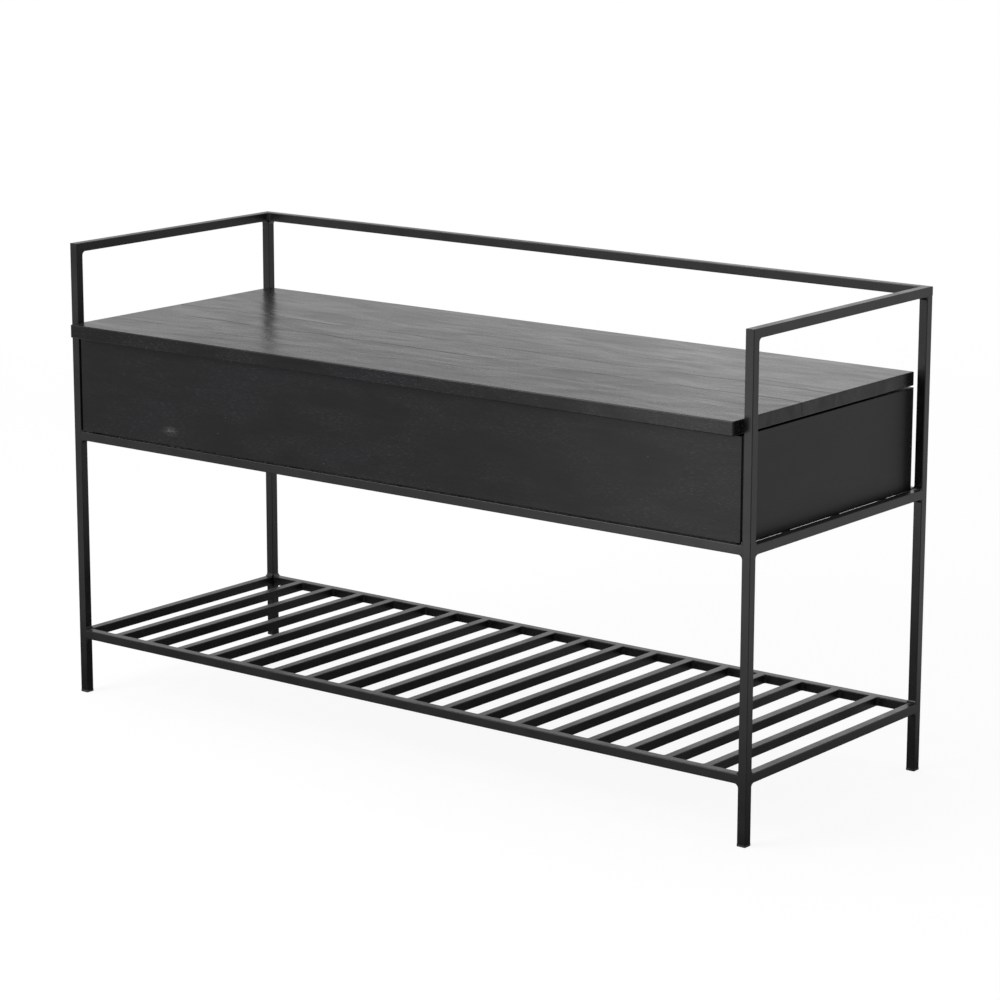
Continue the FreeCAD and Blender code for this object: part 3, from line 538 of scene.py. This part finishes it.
def finish_nodes(names, material):
    """Put one finish on these CAD nodes."""
    for name in names:
        data = NODES[name].data
        if not data.materials:
            data.materials.append(material)
        for slot in NODES[name].material_slots:
            slot.material = material


# ---------------------------------------------------------------- turned and cut pieces

def turned(mesh, profile, segments):
    """Add a closed turned solid about Z: the profile is (radius, height) from foot to top."""
    rings = []
    for radius, height in profile:
        if radius == 0:
            rings.append([mesh.verts.new((0, 0, height))])
            continue
        angles = (2 * math.pi * k / segments for k in range(segments))
        rings.append([mesh.verts.new((radius * math.cos(a), radius * math.sin(a), height)) for a in angles])
    for low, high in zip(rings, rings[1:]):
        for k in range(segments):
            following = (k + 1) % segments
            corners = [low[k % len(low)], low[following % len(low)],
                       high[following % len(high)], high[k % len(high)]]
            mesh.faces.new(list(dict.fromkeys(corners)))


def cross_cutter(arm, slot, depth):
    """A tapered plus, from above the face at Z 0 down to the recess's floor."""
    flare, taper, overshoot = 1.05, 0.55, 0.2
    mesh = bmesh.new()
    half = slot / 2
    quarter = [(half, half), (half, arm), (-half, arm)]
    turns = [Matrix.Rotation(math.pi / 2 * turn, 2) for turn in range(4)]
    outline = [turn @ Vector(point) for turn in turns for point in quarter]
    top = [mesh.verts.new((p.x * flare, p.y * flare, depth * overshoot)) for p in outline]
    foot = [mesh.verts.new((p.x * taper, p.y * taper, -depth)) for p in outline]
    mesh.faces.new(top)
    mesh.faces.new(foot[::-1])
    for k in range(len(outline)):
        following = (k + 1) % len(outline)
        mesh.faces.new([top[following], top[k], foot[k], foot[following]])
    bmesh.ops.recalc_face_normals(mesh, faces=mesh.faces)
    return mesh


def stored(mesh, name):
    """Store a bmesh as mesh data and free it."""
    data = bpy.data.meshes.new(name)
    mesh.to_mesh(data)
    mesh.free()
    return data


def volume(data):
    """The volume that a closed mesh holds."""
    mesh = bmesh.new()
    mesh.from_mesh(data)
    held = mesh.calc_volume()
    mesh.free()
    return held


def with_recess(data, cutter):
    """The screw's mesh with the cutter's shape taken out of it."""
    screw = bpy.data.objects.new("screw blank", data)
    tool = bpy.data.objects.new("recess tool", cutter)
    for piece in (screw, tool):
        bpy.context.scene.collection.objects.link(piece)
    cut = screw.modifiers.new("Recess", "BOOLEAN")
    cut.operation = "DIFFERENCE"
    cut.object = tool
    cut.solver = "EXACT"
    graph = bpy.context.evaluated_depsgraph_get()
    made = bpy.data.meshes.new_from_object(screw.evaluated_get(graph))
    for piece in (screw, tool):
        bpy.data.objects.remove(piece)
    if not 0 < volume(made) < volume(data):
        raise RuntimeError("the cross recess cut nothing out of the screw")
    return made


def solids(node):
    """The lowest and highest corner of each separate solid in a CAD node."""
    mesh = bmesh.new()
    mesh.from_mesh(NODES[node].data)
    bmesh.ops.remove_doubles(mesh, verts=mesh.verts, dist=1e-6)
    waiting = set(mesh.verts)
    boxes = []
    while waiting:
        island = {waiting.pop()}
        reached = list(island)
        while reached:
            vertex = reached.pop()
            fresh = {edge.other_vert(vertex) for edge in vertex.link_edges} - island
            island |= fresh
            reached.extend(fresh)
        waiting -= island
        boxes.append([Vector([pick(vertex.co[k] for vertex in island) for k in range(3)])
                      for pick in (min, max)])
    mesh.free()
    return sorted(boxes, key=lambda box: tuple(box[0]))


def centre_at(box, level):
    """The middle of a solid's box as seen from above, at this height."""
    low, high = box
    return Vector(((low.x + high.x) / 2, (low.y + high.y) / 2, level))


def copies(name, data, spots, node, material, upside_down=False):
    """Make one piece of copies of a mesh at these spots, standing for a CAD node."""
    mesh = bmesh.new()
    for spot in spots:
        start = len(mesh.verts)
        mesh.from_mesh(data)
        mesh.verts.ensure_lookup_table()
        added = mesh.verts[start:]
        if upside_down:
            bmesh.ops.rotate(mesh, verts=added, matrix=Matrix.Rotation(math.pi, 3, "X"))
        bmesh.ops.translate(mesh, verts=added, vec=spot)
    piece = bpy.data.objects.new(name, stored(mesh, name))
    bpy.context.scene.collection.objects.link(piece)
    piece.data.materials.append(material)
    piece.data.set_sharp_from_angle(angle=math.radians(35))
    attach(piece, NODES[node]["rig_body"])
    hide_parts(node)


# ---------------------------------------------------------------- one operator for each piece

class BENCH_OT_tube_frame(bpy.types.Operator):
    """Powder-coat the posts, the rails, the shelf slats, their welds and the mounting tabs"""
    bl_idname = "bench.tube_frame"
    bl_label = "Tube Frame"

    def execute(self, context):
        names = named("post_", "top_", "seat_rail", "shelf_", "mounting_tabs")
        finish_nodes(names, powder_coated_steel(context.scene.bench_coat))
        return {"FINISHED"}


class BENCH_OT_foot_caps(bpy.types.Operator):
    """Mould the plastic caps under the posts"""
    bl_idname = "bench.foot_caps"
    bl_label = "Foot Caps"

    def execute(self, context):
        fittings = context.scene.bench_fittings
        # The caps' paler drifts are scuffs and a painted highlight.
        plastic = moulded("Moulded Polyethylene", fittings.cap, fittings.cap_scuff_and_highlight, roughness=0.5,
                          grit=0.8 * MM, grit_height=0.01 * MM)
        finish_nodes(named("foot_cap"), plastic)
        return {"FINISHED"}


class BENCH_OT_storage_box(bpy.types.Operator):
    """Stain and lacquer the four walls of the storage box, and stain its floor"""
    bl_idname = "bench.storage_box"
    bl_label = "Storage Box"

    def execute(self, context):
        wood = context.scene.bench_wood
        front = stained_board("Stained Board Front Wall", wood, "X", "Z", wood.wall_figure, scuffed=True)
        back = stained_board("Stained Board Back Wall", wood, "X", "Z", wood.wall_figure)
        ends = stained_board("Stained Board End Walls", wood, "Y", "Z", wood.end_figure)
        finish_nodes(["box_front_panel"], front)
        finish_nodes(["box_back_panel"], back)
        finish_nodes(["box_left_panel", "box_right_panel"], ends)
        finish_nodes(["box_floor_panel"], stained_plywood(wood))
        finish_nodes(["box_corner_dowels"], turned_beech(context.scene.bench_fittings))
        return {"FINISHED"}


class BENCH_OT_seat_lid(bpy.types.Operator):
    """Stain and lacquer the seat lid"""
    bl_idname = "bench.seat_lid"
    bl_label = "Seat Lid"

    def execute(self, context):
        wood = context.scene.bench_wood
        board = stained_board("Stained Board Lid", wood, "X", "Y", wood.lid_figure, glued=True)
        finish_nodes(["seat_lid"], board)
        return {"FINISHED"}


class BENCH_OT_hinges(bpy.types.Operator):
    """Plate the hinge leaves and pins"""
    bl_idname = "bench.hinges"
    bl_label = "Hinges"

    def execute(self, context):
        finish_nodes(named("hinge_"), black_zinc_steel(context.scene.bench_fittings))
        return {"FINISHED"}


class BENCH_OT_screws(bpy.types.Operator):
    """Turn the countersunk hinge screws and the pan-head tab screws, with cross recesses"""
    bl_idname = "bench.screws"
    bl_label = "Screws"

    def execute(self, context):
        settings = context.scene.bench_screw
        steel = bpy.data.materials["Black Zinc Steel"]
        self.countersunk("hinge_box_leaf_screws", settings, steel, upside_down=False)
        self.countersunk("hinge_lid_leaf_screws", settings, steel, upside_down=True)
        self.pan_head("mounting_tab_screws", settings, steel)
        return {"FINISHED"}

    def shank(self, radius, top, bottom):
        """The profile of a shank from its blunt tip up to the head."""
        tip, slope = radius * 0.2, radius * 1.6
        return [(0, bottom), (tip, bottom), (radius, bottom + slope), (radius, top)]

    def recessed(self, profile, settings, scale=1):
        """A turned screw with the cross recess cut into its head, which faces up at Z 0."""
        mesh = bmesh.new()
        turned(mesh, profile, settings.segments)
        cutter = cross_cutter(settings.arm * scale, settings.slot * scale, settings.depth * scale)
        return with_recess(stored(mesh, "screw"), stored(cutter, "recess"))

    def countersunk(self, node, settings, steel, upside_down):
        """Flat-headed screws that end flush with the leaf, over the CAD's plain ones."""
        boxes = solids(node)
        low, high = boxes[0]
        radius = (high.x - low.x) / 2
        shank = radius * 0.54
        cone = radius - shank
        rim = [(radius * 0.97, -0.05 * MM), (radius * 0.96, 0), (0, 0)]
        profile = self.shank(shank, -cone, low.z - high.z) + rim
        spots = [centre_at(box, box[0].z if upside_down else box[1].z) for box in boxes]
        copies(f"{node}_cut", self.recessed(profile, settings), spots, node, steel, upside_down)

    def pan_head(self, node, settings, steel):
        """Round-headed screws that hold the box from below, over the CAD's plain ones."""
        boxes = solids(node)
        low, high = boxes[0]
        radius = (high.x - low.x) / 2
        shank = head = radius * 4 / 7
        flank = head / 4
        crown = [(radius * math.cos(a), (head - flank) * (math.sin(a) - 1))
                 for a in (math.radians(step) for step in range(0, 76, 15))]
        profile = self.shank(shank, -head, low.z - high.z) + [(radius, -head), *crown, (0, 0)]
        data = self.recessed(profile, settings, settings.pan_scale)
        spots = [centre_at(box, box[0].z) for box in boxes]
        copies(f"{node}_cut", data, spots, node, steel, upside_down=True)


class BENCH_OT_bumpers(bpy.types.Operator):
    """Mould the rubber buttons that the lid closes on"""
    bl_idname = "bench.bumpers"
    bl_label = "Bumpers"

    def execute(self, context):
        boxes = solids("lid_bumpers")
        low, high = boxes[0]
        radius = (high.x - low.x) / 2
        height = high.z - low.z
        soft = height * 0.45
        edge = [(radius - soft + soft * math.cos(a), height - soft + soft * math.sin(a))
                for a in (math.radians(step) for step in range(0, 91, 15))]
        mesh = bmesh.new()
        turned(mesh, [(0, 0), (radius, 0), *edge, (0, height)], segments=48)
        fittings = context.scene.bench_fittings
        rubber = moulded("Moulded Rubber", fittings.rubber, fittings.rubber_worn, roughness=0.7,
                         grit=0.6 * MM, grit_height=0.012 * MM)
        spots = [centre_at(box, box[0].z) for box in boxes]
        copies("lid_bumpers_moulded", stored(mesh, "bumper"), spots, "lid_bumpers", rubber)
        return {"FINISHED"}


# ---------------------------------------------------------------- the stage

# A card round the bench that only its gloss shows: the way to it, the cosines of the angles at
# which it has faded out and at which it has its full tone, and how bright that is.
Card = namedtuple("Card", "way faded full tone")
CARDS = (
    Card(way=(-0.62, 0.78, 0), faded=0.6, full=0.9, tone=0.84),
    Card(way=(-0.49, 0.85, 0.19), faded=0.985, full=0.999, tone=1.02),
    Card(way=(-0.8, -0.6, 0), faded=0.75, full=0.95, tone=0.41),
    Card(way=(-0.49, -0.84, -0.24), faded=0.98, full=0.998, tone=1.12),
    Card(way=(0.6, -0.6, -0.53), faded=0.7, full=0.85, tone=0.32),
    Card(way=(0.88, 0.47, 0), faded=0.9, full=0.93, tone=0.35),
)

# A soft lamp: where it stands, the point it faces, its size in metres and its power in watts.
Lamp = namedtuple("Lamp", "name place target width height power")
MIDDLE = (CAD_BOX[0] + CAD_BOX[1]) / 2
LAMPS = (
    Lamp("Top Softbox", (-0.6, 0.3, 3.0), MIDDLE, width=2.6, height=1.8, power=20),
    Lamp("Front Softbox", (-1.3, -2.7, 1.9), MIDDLE, width=2.0, height=1.6, power=60),
    Lamp("Front Strip", (-0.05, -1.05, 0.25), (0.5, -0.19, 0.43), width=0.35, height=0.4, power=0.5),
    Lamp("Back Softbox", (-0.6, 2.4, 1.0), MIDDLE, width=1.4, height=1.0, power=0.7),
)


def seen_directly(tree):
    """One for rays from the eye, and for what metal, gloss and glass show, else nought."""
    path = add(tree, "ShaderNodeLightPath")
    both = add(tree, "ShaderNodeMath", {
        0: path.outputs["Is Camera Ray"], 1: path.outputs["Is Glossy Ray"],
    }, operation="ADD")
    return add(tree, "ShaderNodeMath", {
        0: both, 1: path.outputs["Is Transmission Ray"],
    }, operation="ADD", use_clamp=True)


def room_tone(tree, stage):
    """How bright the room is towards a direction: white for the eye, and for gloss the grey
    of its walls and of the cards before them."""
    way = add(tree, "ShaderNodeTexCoord").outputs["Generated"]
    tone = stage.walls
    for card in CARDS:
        facing = add(tree, "ShaderNodeVectorMath", {
            0: way, 1: Vector(card.way).normalized(),
        }, operation="DOT_PRODUCT")
        seen = add(tree, "ShaderNodeMapRange", {
            "Value": facing, "From Min": card.faded, "From Max": card.full,
        }, interpolation_type="SMOOTHSTEP")
        tone = add(tree, "ShaderNodeMix", {"Factor": seen, "A": tone, "B": card.tone})
    eye = add(tree, "ShaderNodeLightPath").outputs["Is Camera Ray"]
    return add(tree, "ShaderNodeMix", {"Factor": eye, "A": tone, "B": 1.0})


def dim_near_bench(tree, flat, stage):
    """How bright gloss finds the floor: dim under the bench and full further away."""
    spread = add(tree, "ShaderNodeVectorMath", {0: flat}, operation="ABSOLUTE")
    past = add(tree, "ShaderNodeVectorMath", {
        0: spread, 1: (CAD_BOX[1].x, CAD_BOX[1].y, 0),
    }, operation="SUBTRACT")
    outside = add(tree, "ShaderNodeVectorMath", {0: past, 1: (0, 0, 0)}, operation="MAXIMUM")
    distance = add(tree, "ShaderNodeVectorMath", {0: outside}, operation="LENGTH")
    return add(tree, "ShaderNodeMapRange", {
        "Value": distance, "From Min": 0, "From Max": stage.floor_dim_reach,
        "To Min": stage.floor_dim, "To Max": 1,
    })


def paper_floor(stage):
    """Pale studio paper: its own soft shading, lifted until open floor is white to the eye,
    and fading out far from the bench. Gloss looks through it at the white room, dimmed where
    the bench keeps the light off the paper."""
    material, tree = new_material("Studio Paper")
    place = add(tree, "ShaderNodeTexCoord").outputs["Object"]
    flat = add(tree, "ShaderNodeVectorMath", {0: place, 1: (1, 1, 0)}, operation="MULTIPLY")
    away = add(tree, "ShaderNodeVectorMath", {0: flat}, operation="LENGTH")
    gone = add(tree, "ShaderNodeMapRange", {
        "Value": away, "From Min": stage.floor_radius * stage.floor_fade, "From Max": stage.floor_radius,
    }, interpolation_type="SMOOTHSTEP")
    gloss = add(tree, "ShaderNodeLightPath").outputs["Is Glossy Ray"]
    unseen = add(tree, "ShaderNodeMath", {0: gone, 1: gloss}, operation="MAXIMUM")
    through = add(tree, "ShaderNodeMix", {"Factor": gloss, "A": 1.0, "B": dim_near_bench(tree, flat, stage)})
    lit = add(tree, "ShaderNodeBsdfDiffuse", {"Color": (*stage.floor_shade, 1)})
    # What the lamps leave short of white on open floor is made up here.
    missing = (1 - stage.shadow * stage.open_floor) / (1 - stage.shadow)
    white = add(tree, "ShaderNodeEmission", {"Color": (1, 1, 1, 1), "Strength": missing})
    lift = add(tree, "ShaderNodeMath", {0: seen_directly(tree), 1: 1 - stage.shadow}, operation="MULTIPLY")
    paper = add(tree, "ShaderNodeMixShader", {0: lift, 1: lit, 2: white})
    clear = add(tree, "ShaderNodeBsdfTransparent", {"Color": through})
    surface(tree, add(tree, "ShaderNodeMixShader", {0: unseen, 1: paper, 2: clear}))
    return material


def white_room(stage):
    """An even room: white where it is seen, and a soft grey light on everything."""
    world = bpy.data.worlds.new("White Room")
    bpy.context.scene.world = world
    world.use_nodes = True
    tree = world.node_tree
    tree.nodes.clear()
    light = add(tree, "ShaderNodeBackground", {"Color": (1, 1, 1, 1), "Strength": stage.room})
    white = add(tree, "ShaderNodeBackground", {"Color": (1, 1, 1, 1), "Strength": room_tone(tree, stage)})
    both = add(tree, "ShaderNodeMixShader", {0: seen_directly(tree), 1: light, 2: white})
    add(tree, "ShaderNodeOutputWorld", {"Surface": both})


def face_along(thing, direction):
    """Turn a lamp or a camera to look along a direction, with its top up."""
    thing.rotation_mode = "QUATERNION"
    thing.rotation_quaternion = direction.to_track_quat("-Z", "Y")


def softbox(lamp):
    """A large soft lamp that faces a point and isn't seen itself."""
    light = bpy.data.lights.new(lamp.name, "AREA")
    light.shape = "RECTANGLE"
    light.size = lamp.width
    light.size_y = lamp.height
    light.energy = lamp.power
    box = bpy.data.objects.new(lamp.name, light)
    bpy.context.scene.collection.objects.link(box)
    box.location = lamp.place
    box.visible_camera = False
    face_along(box, Vector(lamp.target) - Vector(lamp.place))


class BENCH_OT_stage(bpy.types.Operator):
    """Set up the camera, the pale floor, the white room and the soft lamps"""
    bl_idname = "bench.stage"
    bl_label = "Studio"

    def execute(self, context):
        stage = context.scene.bench_stage
        self.camera(stage)
        self.floor(stage)
        white_room(stage)
        for lamp in LAMPS:
            softbox(lamp)
        context.scene.view_settings.view_transform = "Standard"
        return {"FINISHED"}

    def camera(self, stage):
        """A long lens that looks down a little on the bench from its front right."""
        lens = bpy.data.cameras.new("Camera")
        lens.lens = stage.lens
        lens.sensor_width = 36
        lens.shift_x, lens.shift_y = stage.shift
        lens.clip_end = 100
        camera = bpy.data.objects.new("Camera", lens)
        bpy.context.scene.collection.objects.link(camera)
        level = math.cos(stage.elevation)
        back = Vector((math.sin(stage.azimuth) * level, -math.cos(stage.azimuth) * level,
                       math.sin(stage.elevation)))
        camera.location = Vector(stage.target) + back * stage.distance
        face_along(camera, -back)
        camera.rotation_quaternion = Quaternion(back, stage.roll) @ camera.rotation_quaternion
        bpy.context.scene.camera = camera

    def floor(self, stage):
        """A round sheet of paper under the bench."""
        mesh = bmesh.new()
        bmesh.ops.create_circle(mesh, cap_ends=True, segments=96, radius=stage.floor_radius)
        floor = bpy.data.objects.new("Studio_Floor", stored(mesh, "Studio_Floor"))
        bpy.context.scene.collection.objects.link(floor)
        floor.location.z = CAD_BOX[0].z
        floor.data.materials.append(paper_floor(stage))


class BENCH_PT_panel(bpy.types.Panel):
    """The steps that finish the bench, and their settings"""
    bl_idname = "BENCH_PT_panel"
    bl_label = "Entryway Bench"
    bl_space_type = "VIEW_3D"
    bl_region_type = "UI"
    bl_category = "Bench"

    def draw(self, context):
        for step in STEPS:
            self.layout.operator(step.bl_idname)
        for name, kind in SETTINGS.items():
            box = self.layout.box()
            box.label(text=kind.__doc__)
            for setting in kind.__annotations__:
                box.prop(getattr(context.scene, name), setting)


STEPS = (BENCH_OT_stage, BENCH_OT_tube_frame, BENCH_OT_foot_caps, BENCH_OT_storage_box,
         BENCH_OT_seat_lid, BENCH_OT_hinges, BENCH_OT_screws, BENCH_OT_bumpers)
SETTINGS = {
    "bench_coat": BenchCoat,
    "bench_wood": BenchWood,
    "bench_fittings": BenchFittings,
    "bench_screw": BenchScrew,
    "bench_stage": BenchStage,
}


def register():
    """Register the settings, the steps and the panel."""
    for kind in (*SETTINGS.values(), *STEPS, BENCH_PT_panel):
        bpy.utils.register_class(kind)
    for name, kind in SETTINGS.items():
        setattr(bpy.types.Scene, name, PointerProperty(type=kind))


def unregister():
    """Take them all away again."""
    for name in SETTINGS:
        delattr(bpy.types.Scene, name)
    for kind in (BENCH_PT_panel, *STEPS, *SETTINGS.values()):
        bpy.utils.unregister_class(kind)


def main():
    """Run every step in order."""
    register()
    for step in STEPS:
        group, name = step.bl_idname.split(".")
        getattr(getattr(bpy.ops, group), name)()


if __name__ == "__main__":
    main()
